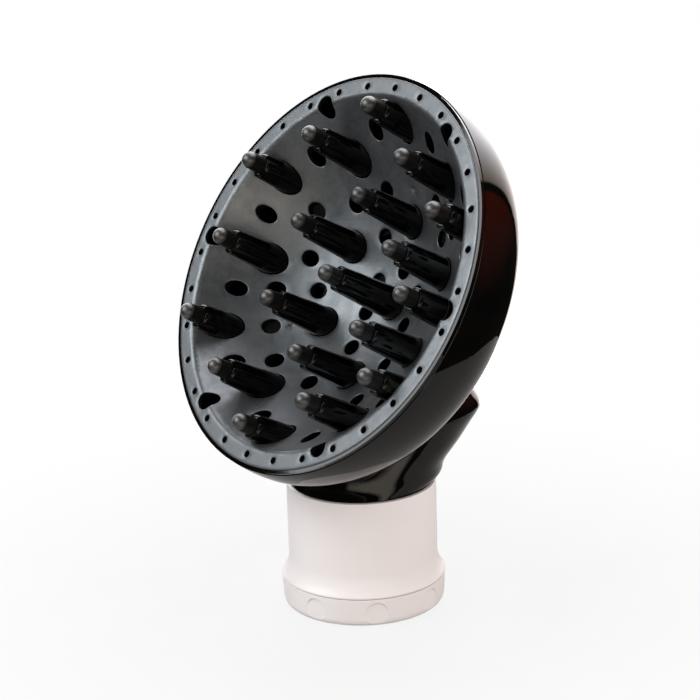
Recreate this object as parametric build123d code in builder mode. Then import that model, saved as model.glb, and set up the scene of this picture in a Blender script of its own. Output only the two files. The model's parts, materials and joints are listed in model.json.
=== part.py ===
"""Universal hair dryer diffuser that stands on its collar.

The origin is the centre of the collar's mouth, +Z runs up the collar, and the bowl faces -Y.
A twist ring at the mouth drives six jaws inward, onto the nozzle of a hair dryer.
"""
import os
from math import cos, radians, sin, sqrt, tan

from build123d import *

# Placing of the bowl's face over the collar, as shares of the rim's radius
FACE_TILT = 30.0
FACE_FORWARD = 0.21
FACE_RISE = 1.1

# Bowl shell
RIM_R = 80.0
RIM_WALL = 1.2
RIM_DROP = 0.3
RIM_BEAD = 2.4
BULGE_OUT = 1.0
BULGE_DEPTH = 10.6
BULGE_ARC = 27.5
BACK_SLOPE = 35.0
BOWL_WALL = 2.0
SEAT_TABS = 10
SEAT_TAB_WIDTH = 4.0
SEAT_TAB_REACH = 1.4
SEAT_TAB_HEIGHT = 2.2

# Neck, with its rises and steps back as shares of the rim's radius
NECK_WALL = 2.2
NECK_HEEL_RISE = 0.34
NECK_HEEL_BACK = 0.27
NECK_HEEL_OUT = 4.2
NECK_HEEL_EASE = 2.5
NECK_TOP_RISE = 0.9275
NECK_TOP_BACK = 0.0375
NECK_TOP_IN = 5.8
SPIGOT_END_Z = 38.0
STOP_LIP = 5.1
STOP_LIP_T = 2.0
SNAP_BEAD_R = 0.5
SNAP_Z = 44.0

# Perforated plate, with its pattern turned a little about the bowl's axis
PATTERN_TURN = 0.7
DISH_DEPTH = 40.3
FLANGE_WIDTH = 7.15
PLATE_T = 1.8
FLANGE_T = 2.0
PLATE_FIT = 0.2
CORNER_FILLET = 2.5
RIM_HOLES = 30
RIM_HOLE_INSET = 3.6
RIM_HOLE_R = 1.35
CORNER_HOLES = 6
CORNER_HOLE_OUT = 0.55
CORNER_HOLE_R = 3.8
AIR_HOLE_R = 3.2
# Air holes: circle as a share of the dish's mouth, and the angles from the top of the dish
AIR_HOLES = {
    0.1875: (0, 60, 120, 180, 240, 300),
    0.330: (203,),
    0.385: (90, 150, 330),
    0.500: (36, 262),
    0.606: (20, 42, 82, 160, 200, 278, 318, 340),
    0.707: (61, 102, 120, 138, 222, 240, 258, 299),
    0.8705: (15, 45, 75, 105, 135, 165, 195, 225, 255, 285, 315, 345),
}

# Fingers, on a hexagonal grid, with its pitch as a share of the dish's mouth
FINGER_SHARE = 0.452
CENTRE_SHOULDER = -8.6
INNER_SHOULDER = -9.2
MIDDLE_SHOULDER = 2.0
CORNER_SHOULDER = 3.0
SHOULDER_R = 4.95
SHOULDER_CHAMFER = 0.7
FINGER_TAPER = 3.1
FINGER_RIBS = 4
GROOVE_WIDTH = 3.2
GROOVE_FLOOR_R = 3.8
GROOVE_STOP = 4.0
FINGER_FIT = 0.25
TIP_ROOT_R = 3.55
TIP_END_R = 3.35
TIP_LENGTH = 5.5
STUD_R = 2.0
STUD_LENGTH = 6.0
STUD_FIT = 0.05
FINGER_SEAT = 0.05
PEG_R = 2.4
PEG_FIT = 0.05
PEG_PROUD = 0.6

# Web behind the plate that carries the fingers
WEB_T = 1.8
WEB_GAP = 0.25
HUB_R = 9.0
WEB_WIDTH = 6.0
WEB_PAD_R = 7.2
BOSS_SHARE = 0.6144
BOSS_COUNT = 3
BOSS_R = 2.8
BOSS_FIT = 0.2
TOWER_R = 4.6
TOWER_FLOOR = 2.0
BOSS_BORE = 0.72
SCREW_ROOM = 2.1

# Collar sleeve
COLLAR_R = 29.6
COLLAR_TOP_Z = 49.8
COLLAR_WALL = 2.6
COLLAR_LIP = 1.6
COLLAR_FIT = 0.2
FLARE_TOP_Z = 20.2
FLARE_END_Z = 12.2
GUIDE_BOSS_R = 2.7

# Twist ring
RING_OUT = 2.9
RING_TOP_Z = 11.25
RING_WALL = 1.1
RING_GAP = 0.3
RING_BASE_IN = 2.2
RING_DRAFT = 0.4
RING_ROLL = 3.2
DIMPLES = 8
DIMPLE_R = 4.4
DIMPLE_DEPTH = 0.65
DIMPLE_Z = 5.3
DIMPLE_START = 22.5
CAM_T = 2.4
SLOT_END = 1.0

# Jaws and their guide
MOUTH_IN = 5.6
TUBE_WALL = 1.0
JAWS = 6
JAW_WIDTH = 12.0
JAW_Z = 2.6
JAW_HEIGHT = 4.2
JAW_TRAVEL = 3.0
RING_TURN = 40.0
PIN_R = 0.8
PIN_FIT = 0.3
PIN_TAIL = 0.3
PIN_LENGTH = 2.1
PAD_T = 1.6
PAD_SETBACK = 0.3
PAD_SEAT = 0.05
PAD_INSET = 0.3
SLIDE_FIT = 0.2
GUIDE_TOP_Z = 9.6
RUN_FIT = 0.3

# Retaining ring
RETAINER_T = 0.8
RETAINER_WIDTH = 1.7
RETAINER_GROOVE = 0.5
RETAINER_SPLIT = 30.0
RETAINER_FIT = 0.05

# Screws
SCREW_R = 1.1
SCREW_FIT = 0.05
SCREW_HEAD_R = 2.2
SCREW_HEAD_T = 1.6
SCREW_REACH = 6.5
SCREW_TIP_GAP = 0.5
BOSS_CAP = 1.5

# Places and radii that follow the rim
face_y = -FACE_FORWARD * RIM_R
face_z = COLLAR_TOP_Z + FACE_RISE * RIM_R
heel_y = NECK_HEEL_BACK * RIM_R
heel_z = COLLAR_TOP_Z + NECK_HEEL_RISE * RIM_R
neck_top_y = NECK_TOP_BACK * RIM_R
neck_top_z = COLLAR_TOP_Z + NECK_TOP_RISE * RIM_R
bulge_r = RIM_R + BULGE_OUT
plate_r = RIM_R - RIM_WALL - PLATE_FIT
dish_mouth = plate_r - FLANGE_WIDTH
dish_r = (dish_mouth**2 + DISH_DEPTH**2) / (2 * DISH_DEPTH)
dish_z = dish_r - DISH_DEPTH
finger_pitch = FINGER_SHARE * dish_mouth
boss_circle = BOSS_SHARE * dish_mouth

# Radii that follow the collar
spigot_r = COLLAR_R - COLLAR_LIP - COLLAR_FIT
heel_r = spigot_r + NECK_HEEL_OUT
neck_top_r = spigot_r - NECK_TOP_IN
ring_r = COLLAR_R + RING_OUT
ring_in = ring_r - RING_WALL
mouth_r = COLLAR_R - MOUTH_IN

# Planes of the bowl: FACE looks out of the bowl, AXIAL holds its axis and +X
face_normal = (0, -cos(radians(FACE_TILT)), sin(radians(FACE_TILT)))
FACE = Plane(origin=(0, face_y, face_z), x_dir=(1, 0, 0), z_dir=face_normal)
AXIAL = Plane(origin=FACE.origin, x_dir=(1, 0, 0), z_dir=-FACE.y_dir)
BOWL_AXIS = Axis(FACE.origin, FACE.z_dir)

os.makedirs("parts", exist_ok=True)


def save(part, label):
    part.label = label
    export_step(part, f"parts/{label}.step")


def on_face(radius, angle):
    """A point of the pattern on the bowl's face, at an angle from its top towards +X."""
    turned = radians(angle + PATTERN_TURN)
    return (radius * sin(turned), radius * cos(turned))


def sphere_z(sphere_r, centre_z, radius):
    """Height of the back half of a sphere at a radius from the bowl's axis."""
    return centre_z - sqrt(sphere_r**2 - radius**2)


# Outline of the bowl: a bulging side arc that runs into a shallow dome
arc_x = bulge_r - BULGE_ARC
arc_y = -BULGE_DEPTH
turn = radians(90 - BACK_SLOPE)
half_slope = radians(BACK_SLOPE / 2)
dome_r = (arc_x + BULGE_ARC * cos(turn)) / sin(radians(BACK_SLOPE))
dome_y = arc_y - BULGE_ARC * sin(turn) + dome_r * cos(radians(BACK_SLOPE))


def bowl_outline(inset, start):
    """Arc and dome of the bowl at a depth inside its skin, from the side's start to the axis."""
    side_r = BULGE_ARC - inset
    back_r = dome_r - inset
    side_end = (arc_x + side_r * cos(turn), arc_y - side_r * sin(turn))
    ThreePointArc(start, (arc_x + side_r, arc_y), side_end)
    dome_mid = (back_r * sin(half_slope), dome_y - back_r * cos(half_slope))
    ThreePointArc(side_end, dome_mid, (0, dome_y - back_r))


# Neck: a smooth duct through the collar, the heel and the bowl's back
neck_start_z = COLLAR_TOP_Z + COLLAR_FIT
neck_low = heel_z - neck_start_z
neck_high = neck_top_z - heel_z


def eased(height, start, heel, top):
    """Straight from start to heel and from heel to top, with the corner at the heel rounded."""
    rise = (heel - start) / neck_low
    fall = (top - heel) / neck_high
    past = height - heel_z
    if abs(past) < NECK_HEEL_EASE:
        bend = (fall - rise) * (past + NECK_HEEL_EASE) ** 2 / (4 * NECK_HEEL_EASE)
        return heel + rise * past + bend
    return heel + (rise if past < 0 else fall) * past


neck_stations = [neck_start_z + neck_low * i / 4 for i in range(4)]
neck_stations += [heel_z + NECK_HEEL_EASE * i for i in (-1, 0, 1)]
neck_stations += [heel_z + neck_high * i / 4 for i in range(1, 5)]


def neck_duct(inset):
    """The duct of the neck, at a depth inside its skin."""
    with BuildPart() as duct:
        for height in neck_stations:
            with BuildSketch(Plane.XY.offset(height)):
                with Locations((0, eased(height, 0, heel_y, neck_top_y))):
                    Circle(eased(height, spigot_r, heel_r, neck_top_r) - inset)
        loft()
    return duct.part


# Fingers: name, place on the face and shoulder height of each
inner_places = [on_face(finger_pitch, 60 * i) for i in range(6)]
corner_places = [on_face(2 * finger_pitch, 60 * i) for i in range(6)]
middle_places = [on_face(sqrt(3) * finger_pitch, 60 * i + 30) for i in range(6)]
outer_places = [place for pair in zip(corner_places, middle_places) for place in pair]
outer_shoulders = [CORNER_SHOULDER, MIDDLE_SHOULDER] * 6
finger_rows = [
    (INNER_SHOULDER, inner_places),
    (MIDDLE_SHOULDER, middle_places),
    (CORNER_SHOULDER, corner_places),
]
fingers = [("centre", (0, 0), CENTRE_SHOULDER)]
fingers += [(f"inner_{i + 1}", place, INNER_SHOULDER) for i, place in enumerate(inner_places)]
fingers += [(f"outer_{i + 1}", place, outer_shoulders[i]) for i, place in enumerate(outer_places)]
finger_slope = tan(radians(FINGER_TAPER))
hole_top_r = SHOULDER_R + FINGER_FIT

# Spheres of the dish and of the web behind it share one centre
web_front = dish_r + PLATE_T + WEB_GAP
web_back = web_front + WEB_T
boss_places = [on_face(boss_circle, 360 / BOSS_COUNT * i) for i in range(BOSS_COUNT)]
boss_root = sphere_z(dish_r + PLATE_T, dish_z, boss_circle)
boss_end = sphere_z(dome_r - BOWL_WALL, dome_y, boss_circle) + SCREW_ROOM + SCREW_HEAD_T + TOWER_FLOOR
boss_bore = BOSS_BORE * (boss_root - boss_end)


def finger_plane(place, shoulder):
    """Plane that holds a finger's axis, with its origin in the middle of the shoulder."""
    shoulder_point = FACE.from_local_coords((*place, shoulder))
    return Plane(origin=shoulder_point, x_dir=AXIAL.x_dir, z_dir=AXIAL.z_dir)


# Bowl shell with its neck
neck_outside = neck_duct(0)
neck_inside = neck_duct(NECK_WALL)
with BuildPart() as bowl_shell:
    add(neck_outside)
    with BuildSketch(AXIAL):
        with BuildLine():
            bead_y = -RIM_BEAD
            bead_x = arc_x + sqrt(BULGE_ARC**2 - (bead_y - arc_y) ** 2)
            bowl_outline(0, (bead_x, bead_y))
            Polyline((0, dome_y - dome_r), (0, -RIM_DROP), (RIM_R, -RIM_DROP), (RIM_R, bead_y))
            Line((RIM_R, bead_y), (bead_x, bead_y))
        make_face()
    revolve(axis=BOWL_AXIS)
    with BuildSketch(Plane.XY.offset(SPIGOT_END_Z)):
        Circle(spigot_r)
    extrude(amount=neck_start_z - SPIGOT_END_Z)
    with BuildSketch(Plane.XZ):
        with Locations((spigot_r, SNAP_Z)):
            Circle(SNAP_BEAD_R)
    revolve(axis=Axis.Z)
    with BuildSketch(AXIAL):
        with BuildLine():
            recess_x = RIM_R - RIM_WALL
            recess_y = arc_y + sqrt((BULGE_ARC - BOWL_WALL) ** 2 - (recess_x - arc_x) ** 2)
            bowl_outline(BOWL_WALL, (recess_x, recess_y))
            Polyline(
                (0, dome_y - dome_r + BOWL_WALL), (0, -RIM_DROP), (recess_x, -RIM_DROP), (recess_x, recess_y)
            )
        make_face()
    revolve(axis=BOWL_AXIS, mode=Mode.SUBTRACT)
    add(neck_inside, mode=Mode.SUBTRACT)
    with BuildSketch(Plane.XY.offset(SPIGOT_END_Z + STOP_LIP_T)):
        Circle(spigot_r - NECK_WALL)
    extrude(amount=neck_start_z - SPIGOT_END_Z - STOP_LIP_T, mode=Mode.SUBTRACT)
    with BuildSketch(Plane.XY.offset(SPIGOT_END_Z)):
        Circle(spigot_r - NECK_WALL - STOP_LIP)
    extrude(amount=STOP_LIP_T, mode=Mode.SUBTRACT)
    with BuildSketch(FACE.offset(-FLANGE_T)):
        with PolarLocations(recess_x, SEAT_TABS, start_angle=90 + 180 / RIM_HOLES - PATTERN_TURN):
            Rectangle(2 * SEAT_TAB_REACH, SEAT_TAB_WIDTH)
    extrude(amount=-SEAT_TAB_HEIGHT)
save(bowl_shell.part, "bowl_shell")

# Perforated plate with its flange and screw bosses
with BuildPart() as finger_plate:
    with BuildSketch(FACE.offset(boss_end)):
        with Locations(*boss_places):
            Circle(BOSS_R)
    extrude(amount=boss_root - boss_end + TOWER_R)
    with Locations(FACE):
        with Locations((0, 0, dish_z)):
            Sphere(dish_r + PLATE_T / 2, mode=Mode.SUBTRACT)
    with BuildSketch(AXIAL) as plate_profile:
        with BuildLine():
            back_r = dish_r + PLATE_T
            back_x = sqrt(back_r**2 - (dish_z + FLANGE_T) ** 2)
            half_x = dish_mouth / 2
            back_half = back_x / 2
            ThreePointArc((0, -DISH_DEPTH), (half_x, sphere_z(dish_r, dish_z, half_x)), (dish_mouth, 0))
            Polyline((dish_mouth, 0), (plate_r, 0), (plate_r, -FLANGE_T), (back_x, -FLANGE_T))
            ThreePointArc(
                (back_x, -FLANGE_T),
                (back_half, sphere_z(back_r, dish_z, back_half)),
                (0, -DISH_DEPTH - PLATE_T),
            )
            Line((0, -DISH_DEPTH - PLATE_T), (0, -DISH_DEPTH))
        make_face()
        inner_corner = AXIAL.from_local_coords((dish_mouth, 0, 0))
        fillet(plate_profile.vertices().sort_by_distance(inner_corner)[0], CORNER_FILLET)
    revolve(axis=BOWL_AXIS)
    with BuildSketch(FACE):
        with PolarLocations(plate_r - RIM_HOLE_INSET, RIM_HOLES, start_angle=90 - PATTERN_TURN):
            Circle(RIM_HOLE_R)
        with PolarLocations(dish_mouth + CORNER_HOLE_OUT, CORNER_HOLES, start_angle=60 - PATTERN_TURN):
            Circle(CORNER_HOLE_R)
        for share, angles in AIR_HOLES.items():
            with Locations(*[on_face(share * dish_mouth, angle) for angle in angles]):
                Circle(AIR_HOLE_R)
        Circle(hole_top_r + (CENTRE_SHOULDER + DISH_DEPTH + PLATE_T) * finger_slope)
    extrude(amount=-DISH_DEPTH - 2 * PLATE_T, mode=Mode.SUBTRACT)
    for shoulder, places in finger_rows:
        hole_depth = shoulder + DISH_DEPTH + 2 * PLATE_T
        with Locations(FACE):
            with Locations(*[(*place, shoulder) for place in places]):
                Cone(
                    hole_top_r + hole_depth * finger_slope,
                    hole_top_r,
                    hole_depth,
                    align=(Align.CENTER, Align.CENTER, Align.MAX),
                    mode=Mode.SUBTRACT,
                )
    with BuildSketch(FACE.offset(boss_end)):
        with Locations(*boss_places):
            Circle(SCREW_R + SCREW_FIT)
    extrude(amount=boss_bore, mode=Mode.SUBTRACT)
save(finger_plate.part, "finger_plate")

# Fingers, ended on the web, each with a peg through it, four ribs and a socket for its tip
for name, place, shoulder in fingers:
    place_r = sqrt(place[0] ** 2 + place[1] ** 2)
    peg_end = sphere_z(web_back, dish_z, max(place_r - PEG_R, 0)) - PEG_PROUD
    groove_end = sphere_z(dish_r, dish_z, place_r) + GROOVE_STOP
    body_plane = finger_plane(place, shoulder)
    with BuildPart() as finger:
        with BuildSketch(body_plane):
            with BuildLine():
                depth = shoulder - peg_end
                root_r = SHOULDER_R + depth * finger_slope
                Polyline(
                    (0, 0),
                    (SHOULDER_R - SHOULDER_CHAMFER, 0),
                    (SHOULDER_R, -SHOULDER_CHAMFER),
                    (root_r, -depth),
                    (0, -depth),
                    close=True,
                )
            make_face()
        revolve(axis=Axis(body_plane.origin, FACE.z_dir))
        with Locations(FACE):
            with Locations((0, 0, dish_z)):
                Sphere(web_front - FINGER_SEAT, mode=Mode.INTERSECT)
        with BuildSketch(FACE.offset(shoulder)):
            with Locations(place):
                with PolarLocations(GROOVE_FLOOR_R, FINGER_RIBS, start_angle=180 / FINGER_RIBS):
                    Rectangle(SHOULDER_R, GROOVE_WIDTH, align=(Align.MIN, Align.CENTER))
        extrude(amount=groove_end - shoulder, mode=Mode.SUBTRACT)
        with BuildSketch(FACE.offset(peg_end)):
            with Locations(place):
                Circle(PEG_R)
        extrude(amount=shoulder - STUD_LENGTH - STUD_FIT - peg_end)
        with BuildSketch(FACE.offset(shoulder)):
            with Locations(place):
                Circle(STUD_R + STUD_FIT)
        extrude(amount=-STUD_LENGTH - STUD_FIT, mode=Mode.SUBTRACT)
    save(finger.part, f"finger_{name}")

# Screw towers, started inside the thickness of the web
tower_end = boss_end - TOWER_FLOOR
with BuildPart() as towers:
    with BuildSketch(FACE.offset(tower_end)):
        with Locations(*boss_places):
            Circle(TOWER_R)
    extrude(amount=boss_root - tower_end + TOWER_R)
    with Locations(FACE):
        with Locations((0, 0, dish_z)):
            Sphere(web_front + WEB_T / 2, mode=Mode.SUBTRACT)

# Web behind the plate, with its screw towers
with BuildPart() as finger_web:
    with BuildSketch(FACE):
        Circle(finger_pitch + WEB_WIDTH / 2)
        Circle(finger_pitch - WEB_WIDTH / 2, mode=Mode.SUBTRACT)
        Circle(HUB_R)
        for place in inner_places[1::2]:
            with BuildLine():
                Line((0, 0), place)
            trace(line_width=WEB_WIDTH)
        for place in outer_places:
            reach = finger_pitch / sqrt(place[0] ** 2 + place[1] ** 2)
            with BuildLine():
                Line((place[0] * reach, place[1] * reach), place)
            trace(line_width=WEB_WIDTH)
        with Locations(*[place for name, place, shoulder in fingers]):
            Circle(WEB_PAD_R)
            Circle(PEG_R + PEG_FIT, mode=Mode.SUBTRACT)
        with Locations(*boss_places):
            Circle(TOWER_R)
    extrude(amount=-DISH_DEPTH - PLATE_T - WEB_GAP - WEB_T)
    with BuildSketch(AXIAL):
        with Locations((0, dish_z)):
            Circle(web_back)
            Circle(web_front, mode=Mode.SUBTRACT)
        with Locations((web_back, 0)):
            Rectangle(2 * web_back, 4 * web_back, mode=Mode.INTERSECT)
    revolve(axis=BOWL_AXIS, mode=Mode.INTERSECT)
    add(towers.part)
    with BuildSketch(FACE.offset(boss_end)):
        with Locations(*boss_places):
            Circle(BOSS_R + BOSS_FIT)
    extrude(amount=boss_root - boss_end + 2 * TOWER_R, mode=Mode.SUBTRACT)
    with BuildSketch(FACE.offset(tower_end)):
        with Locations(*boss_places):
            Circle(SCREW_R + BOSS_FIT)
    extrude(amount=TOWER_FLOOR, mode=Mode.SUBTRACT)
save(finger_web.part, "finger_web")

# Round-ended tips of the fingers
for name, place, shoulder in fingers:
    tip_plane = finger_plane(place, shoulder)
    with BuildPart() as finger_tip:
        with BuildSketch(tip_plane):
            with BuildLine():
                Polyline(
                    (0, TIP_LENGTH + TIP_END_R),
                    (0, -STUD_LENGTH),
                    (STUD_R, -STUD_LENGTH),
                    (STUD_R, 0),
                    (TIP_ROOT_R, 0),
                    (TIP_END_R, TIP_LENGTH),
                )
                RadiusArc((TIP_END_R, TIP_LENGTH), (0, TIP_LENGTH + TIP_END_R), -TIP_END_R)
            make_face()
        revolve(axis=Axis(tip_plane.origin, FACE.z_dir))
    save(finger_tip.part, f"finger_tip_{name}")

# Screws that hold the web to the plate's bosses
with BuildPart() as plate_screws:
    with BuildSketch(FACE.offset(tower_end)):
        with Locations(*boss_places):
            Circle(SCREW_HEAD_R)
    extrude(amount=-SCREW_HEAD_T)
    with BuildSketch(FACE.offset(tower_end)):
        with Locations(*boss_places):
            Circle(SCREW_R)
    extrude(amount=TOWER_FLOOR + boss_bore - SCREW_TIP_GAP)
save(plate_screws.part, "plate_screws")

# White collar, socketed over the neck's spigot
screw_circle = COLLAR_R - COLLAR_WALL / 2
screw_start = 180 / JAWS
with BuildPart() as collar_sleeve:
    with BuildSketch(Plane.XZ):
        with BuildLine():
            bore_r = COLLAR_R - COLLAR_WALL
            socket_r = COLLAR_R - COLLAR_LIP
            skirt_z = RING_TOP_Z + RING_GAP
            Line((COLLAR_R, COLLAR_TOP_Z), (COLLAR_R, FLARE_TOP_Z))
            TangentArc((COLLAR_R, FLARE_TOP_Z), (ring_r, FLARE_END_Z), tangent=(0, -1))
            Polyline(
                (ring_r, FLARE_END_Z),
                (ring_r, skirt_z),
                (COLLAR_R, skirt_z),
                (COLLAR_R, GUIDE_TOP_Z),
                (bore_r, GUIDE_TOP_Z),
                (bore_r, SPIGOT_END_Z),
                (socket_r, SPIGOT_END_Z),
                (socket_r, COLLAR_TOP_Z),
                (COLLAR_R, COLLAR_TOP_Z),
            )
        make_face()
        with Locations((spigot_r, SNAP_Z)):
            Circle(SNAP_BEAD_R + COLLAR_FIT, mode=Mode.SUBTRACT)
    revolve(axis=Axis.Z)
    with BuildSketch(Plane.XY.offset(GUIDE_TOP_Z)):
        with PolarLocations(screw_circle, JAWS, start_angle=screw_start):
            Circle(GUIDE_BOSS_R)
        Circle(COLLAR_R, mode=Mode.INTERSECT)
    extrude(amount=SCREW_REACH + BOSS_CAP)
    with BuildSketch(Plane.XY.offset(GUIDE_TOP_Z)):
        with PolarLocations(screw_circle, JAWS, start_angle=screw_start):
            Circle(SCREW_R + SCREW_FIT)
    extrude(amount=SCREW_REACH, mode=Mode.SUBTRACT)
save(collar_sleeve.part, "collar_sleeve")

# Twist ring with its cam plate: one curved slot for the pin of each jaw
jaw_tail = ring_in - RUN_FIT
pin_circle = jaw_tail - PIN_TAIL - PIN_R
retainer_z = GUIDE_TOP_Z + RING_GAP


def slot_point(ring_turn):
    """Place of a jaw's pin in the twist ring, after the ring has turned."""
    radius = pin_circle - JAW_TRAVEL * ring_turn / RING_TURN
    return (radius * cos(radians(ring_turn)), -radius * sin(radians(ring_turn)))


with BuildPart() as grip_ring:
    with BuildSketch(Plane.XZ):
        with BuildLine():
            cam_bore = mouth_r + TUBE_WALL + RUN_FIT
            roll_r = ring_r - RING_DRAFT
            ring_base_r = ring_r - RING_BASE_IN
            Line((ring_r, RING_TOP_Z), (roll_r, RING_ROLL))
            TangentArc((roll_r, RING_ROLL), (ring_base_r, 0), tangent=(-RING_DRAFT, RING_ROLL - RING_TOP_Z))
            Polyline(
                (ring_base_r, 0),
                (cam_bore, 0),
                (cam_bore, CAM_T),
                (ring_in, CAM_T),
                (ring_in, RING_TOP_Z),
                (ring_r, RING_TOP_Z),
            )
        make_face()
        with Locations((ring_in, retainer_z)):
            Rectangle(
                2 * RETAINER_GROOVE, RETAINER_T, align=(Align.CENTER, Align.MIN), mode=Mode.SUBTRACT
            )
    revolve(axis=Axis.Z)
    with BuildSketch(Plane.XY):
        with BuildLine(mode=Mode.PRIVATE) as slot_path:
            ThreePointArc(slot_point(-SLOT_END), slot_point(RING_TURN / 2), slot_point(RING_TURN + SLOT_END))
        with PolarLocations(0, JAWS):
            SlotArc(slot_path.edge(), 2 * (PIN_R + PIN_FIT))
    extrude(amount=CAM_T, mode=Mode.SUBTRACT)
    with PolarLocations(ring_r - DIMPLE_DEPTH, DIMPLES, start_angle=DIMPLE_START):
        with Locations((0, 0, DIMPLE_Z)):
            Cylinder(
                DIMPLE_R,
                RING_WALL,
                rotation=(0, 90, 0),
                align=(Align.CENTER, Align.CENTER, Align.MIN),
                mode=Mode.SUBTRACT,
            )
save(grip_ring.part, "grip_ring")

# Split ring in the twist ring's groove, over the guide's edge
with BuildPart() as retaining_ring:
    with BuildSketch(Plane.XZ):
        with Locations((ring_in + RETAINER_GROOVE - RETAINER_FIT, retainer_z)):
            Rectangle(RETAINER_WIDTH, RETAINER_T, align=(Align.MAX, Align.MIN))
    revolve(axis=Axis.Z, revolution_arc=360 - RETAINER_SPLIT)
save(retaining_ring.part, "retaining_ring")

# Guide of the jaws, with the mouth's tube
guide_r = ring_in - RUN_FIT
guide_z = CAM_T + RUN_FIT
head_seat = guide_z + SCREW_HEAD_T + SLIDE_FIT
with BuildPart() as jaw_guide:
    with BuildSketch(Plane.XY):
        Circle(mouth_r + TUBE_WALL)
    extrude(amount=GUIDE_TOP_Z)
    with BuildSketch(Plane.XY.offset(guide_z)):
        Circle(guide_r)
    extrude(amount=GUIDE_TOP_Z - guide_z)
    with BuildSketch(Plane.XY):
        Circle(mouth_r)
    extrude(amount=GUIDE_TOP_Z, mode=Mode.SUBTRACT)
    with BuildSketch(Plane.XY.offset(JAW_Z - SLIDE_FIT)):
        with PolarLocations(guide_r, JAWS):
            Rectangle(2 * (guide_r - mouth_r) + JAW_WIDTH / 2, JAW_WIDTH + 2 * SLIDE_FIT)
    extrude(amount=JAW_HEIGHT + 2 * SLIDE_FIT, mode=Mode.SUBTRACT)
    with BuildSketch(Plane.XY.offset(guide_z)):
        with PolarLocations(screw_circle, JAWS, start_angle=screw_start):
            Circle(SCREW_HEAD_R + SLIDE_FIT)
    extrude(amount=head_seat - guide_z, mode=Mode.SUBTRACT)
    with BuildSketch(Plane.XY.offset(head_seat)):
        with PolarLocations(screw_circle, JAWS, start_angle=screw_start):
            Circle(SCREW_R + SCREW_FIT)
    extrude(amount=GUIDE_TOP_Z - head_seat, mode=Mode.SUBTRACT)
save(jaw_guide.part, "jaw_guide")

# Screws that hold the guide to the collar
with BuildPart() as guide_screws:
    with BuildSketch(Plane.XY.offset(head_seat)):
        with PolarLocations(screw_circle, JAWS, start_angle=screw_start):
            Circle(SCREW_HEAD_R)
    extrude(amount=-SCREW_HEAD_T)
    with BuildSketch(Plane.XY.offset(head_seat)):
        with PolarLocations(screw_circle, JAWS, start_angle=screw_start):
            Circle(SCREW_R)
    extrude(amount=GUIDE_TOP_Z - head_seat + SCREW_REACH - SCREW_TIP_GAP)
save(guide_screws.part, "guide_screws")

# Jaws with their pins, and the rubber pads on them
jaw_face = mouth_r + PAD_SETBACK + PAD_T
for i in range(JAWS):
    jaw_plane = Plane.XY.rotated((0, 0, 360 / JAWS * i))
    with BuildPart() as jaw:
        with BuildSketch(jaw_plane.offset(JAW_Z)):
            Circle(jaw_tail)
            Circle(jaw_face, mode=Mode.SUBTRACT)
            with Locations((jaw_tail, 0)):
                Rectangle(2 * jaw_tail, JAW_WIDTH, mode=Mode.INTERSECT)
        extrude(amount=JAW_HEIGHT)
        with BuildSketch(jaw_plane.offset(JAW_Z)):
            with Locations((pin_circle, 0)):
                Circle(PIN_R)
        extrude(amount=-PIN_LENGTH)
    save(jaw.part, f"jaw_{i + 1}")
    with BuildPart() as jaw_pad:
        with BuildSketch(jaw_plane.offset(JAW_Z + PAD_INSET)):
            Circle(jaw_face - PAD_SEAT)
            Circle(jaw_face - PAD_T, mode=Mode.SUBTRACT)
            with Locations((jaw_face, 0)):
                Rectangle(2 * jaw_face, JAW_WIDTH - 2 * PAD_INSET, mode=Mode.INTERSECT)
        extrude(amount=JAW_HEIGHT - 2 * PAD_INSET)
    save(jaw_pad.part, f"jaw_pad_{i + 1}")
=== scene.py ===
"""Looks of the hair dryer diffuser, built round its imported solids.

The object's sizes are in millimetres, as in the solids, until piece() turns them into metres.
The studio is in metres.
"""

import json
from math import asin, atan2, cos, hypot, pi, radians, sin, sqrt, tan

import bmesh
import bpy
from mathutils import Matrix, Vector
from mathutils.geometry import delaunay_2d_cdt


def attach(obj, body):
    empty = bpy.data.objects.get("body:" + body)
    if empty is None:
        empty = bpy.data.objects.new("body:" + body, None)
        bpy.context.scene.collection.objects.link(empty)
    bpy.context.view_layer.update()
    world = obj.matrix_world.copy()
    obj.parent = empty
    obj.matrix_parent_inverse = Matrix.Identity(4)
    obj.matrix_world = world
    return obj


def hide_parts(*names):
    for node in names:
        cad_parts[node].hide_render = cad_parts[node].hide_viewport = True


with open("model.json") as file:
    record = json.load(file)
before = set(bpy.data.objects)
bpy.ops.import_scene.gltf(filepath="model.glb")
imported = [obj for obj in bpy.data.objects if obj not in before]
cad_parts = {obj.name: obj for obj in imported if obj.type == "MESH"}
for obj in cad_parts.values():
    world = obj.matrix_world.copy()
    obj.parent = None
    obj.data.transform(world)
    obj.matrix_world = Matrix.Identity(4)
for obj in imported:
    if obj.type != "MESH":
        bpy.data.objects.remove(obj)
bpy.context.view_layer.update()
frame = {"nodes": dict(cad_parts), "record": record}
nodes = frame["nodes"]
scene = bpy.context.scene

MM = 0.001
WELD_DISTANCE = 1e-6
SHARP_ANGLE = radians(40)

# The bowl's face: its x runs to the side, y up the face, z out of the bowl
FACE = Matrix(((1, 0, 0, 0),
               (0, 0.5, -0.8660254, -16.8),
               (0, 0.8660254, 0.5, 137.8),
               (0, 0, 0, 1)))

# Perforated plate, with its pattern turned a little about the bowl's axis
PATTERN_TURN = 0.7
DISH_DEPTH = 40.3
DISH_MOUTH = 71.45
DISH_R = (DISH_MOUTH**2 + DISH_DEPTH**2) / (2 * DISH_DEPTH)
DISH_Z = DISH_R - DISH_DEPTH
PLATE_R = 78.6
PLATE_T = 1.8
PLATE_EDGE = 0.5
FLANGE_T = 2.0
CORNER_FILLET = 2.5

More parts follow.
